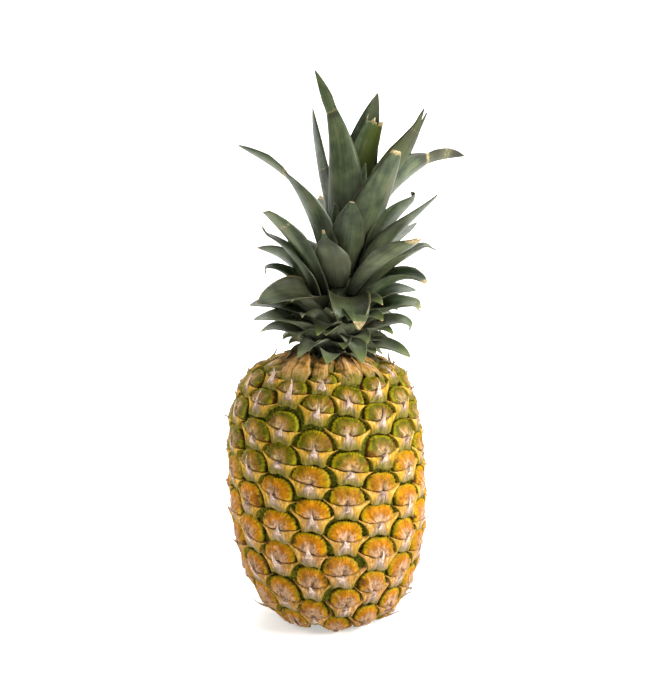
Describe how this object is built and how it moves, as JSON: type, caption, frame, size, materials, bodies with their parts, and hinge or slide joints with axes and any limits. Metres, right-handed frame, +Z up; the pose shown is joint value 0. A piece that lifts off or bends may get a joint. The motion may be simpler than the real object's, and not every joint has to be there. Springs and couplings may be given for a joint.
{
  "type": "pineapple",
  "caption": "Whole fruit with a rind of spiralling eyes, standing on its cut base, with a leafy crown of channelled leaves on top.",
  "frame": {"origin": "centre of the cut stalk's face in the base, where the fruit stands", "axes": "+Z up from the cut base to the crown; the crown's top leans towards +X; -Y is the side with the broad front leaves"},
  "size_m": [0.1438, 0.1196, 0.3239],
  "materials": {
    "ripe_skin": "tough fibrous rind, golden yellow to green, satin",
    "cut_stalk": "dried cut stalk, dull",
    "stem_core": "fibrous green stem, dull",
    "leaf_skin": "waxy grey-green leaf, satin"
  },
  "bodies": {
    "root": {"fruit": "ripe_skin", "fruit_stalk": "cut_stalk", "crown_stem": "stem_core", "leaf_01": "leaf_skin", "leaf_02": "leaf_skin", "leaf_03": "leaf_skin", "leaf_04": "leaf_skin", "leaf_05": "leaf_skin", "leaf_06": "leaf_skin", "leaf_07": "leaf_skin", "leaf_08": "leaf_skin", "leaf_09": "leaf_skin", "leaf_10": "leaf_skin", "leaf_11": "leaf_skin", "leaf_12": "leaf_skin", "leaf_13": "leaf_skin", "leaf_14": "leaf_skin", "leaf_15": "leaf_skin", "leaf_16": "leaf_skin", "leaf_17": "leaf_skin", "leaf_18": "leaf_skin", "leaf_19": "leaf_skin", "leaf_20": "leaf_skin", "leaf_21": "leaf_skin", "leaf_22": "leaf_skin", "leaf_23": "leaf_skin", "leaf_24": "leaf_skin", "leaf_25": "leaf_skin", "leaf_26": "leaf_skin", "leaf_27": "leaf_skin", "leaf_28": "leaf_skin", "leaf_29": "leaf_skin", "leaf_30": "leaf_skin", "leaf_31": "leaf_skin", "leaf_32": "leaf_skin", "leaf_33": "leaf_skin", "leaf_34": "leaf_skin", "leaf_35": "leaf_skin", "leaf_36": "leaf_skin", "leaf_37": "leaf_skin", "leaf_38": "leaf_skin", "leaf_39": "leaf_skin", "leaf_40": "leaf_skin", "leaf_41": "leaf_skin", "leaf_42": "leaf_skin", "leaf_43": "leaf_skin", "leaf_44": "leaf_skin", "leaf_45": "leaf_skin", "leaf_46": "leaf_skin", "leaf_47": "leaf_skin", "leaf_48": "leaf_skin", "leaf_49": "leaf_skin", "leaf_50": "leaf_skin", "leaf_51": "leaf_skin", "leaf_52": "leaf_skin", "leaf_53": "leaf_skin", "leaf_54": "leaf_skin", "leaf_55": "leaf_skin", "leaf_56": "leaf_skin"}
  },
  "joints": []
}
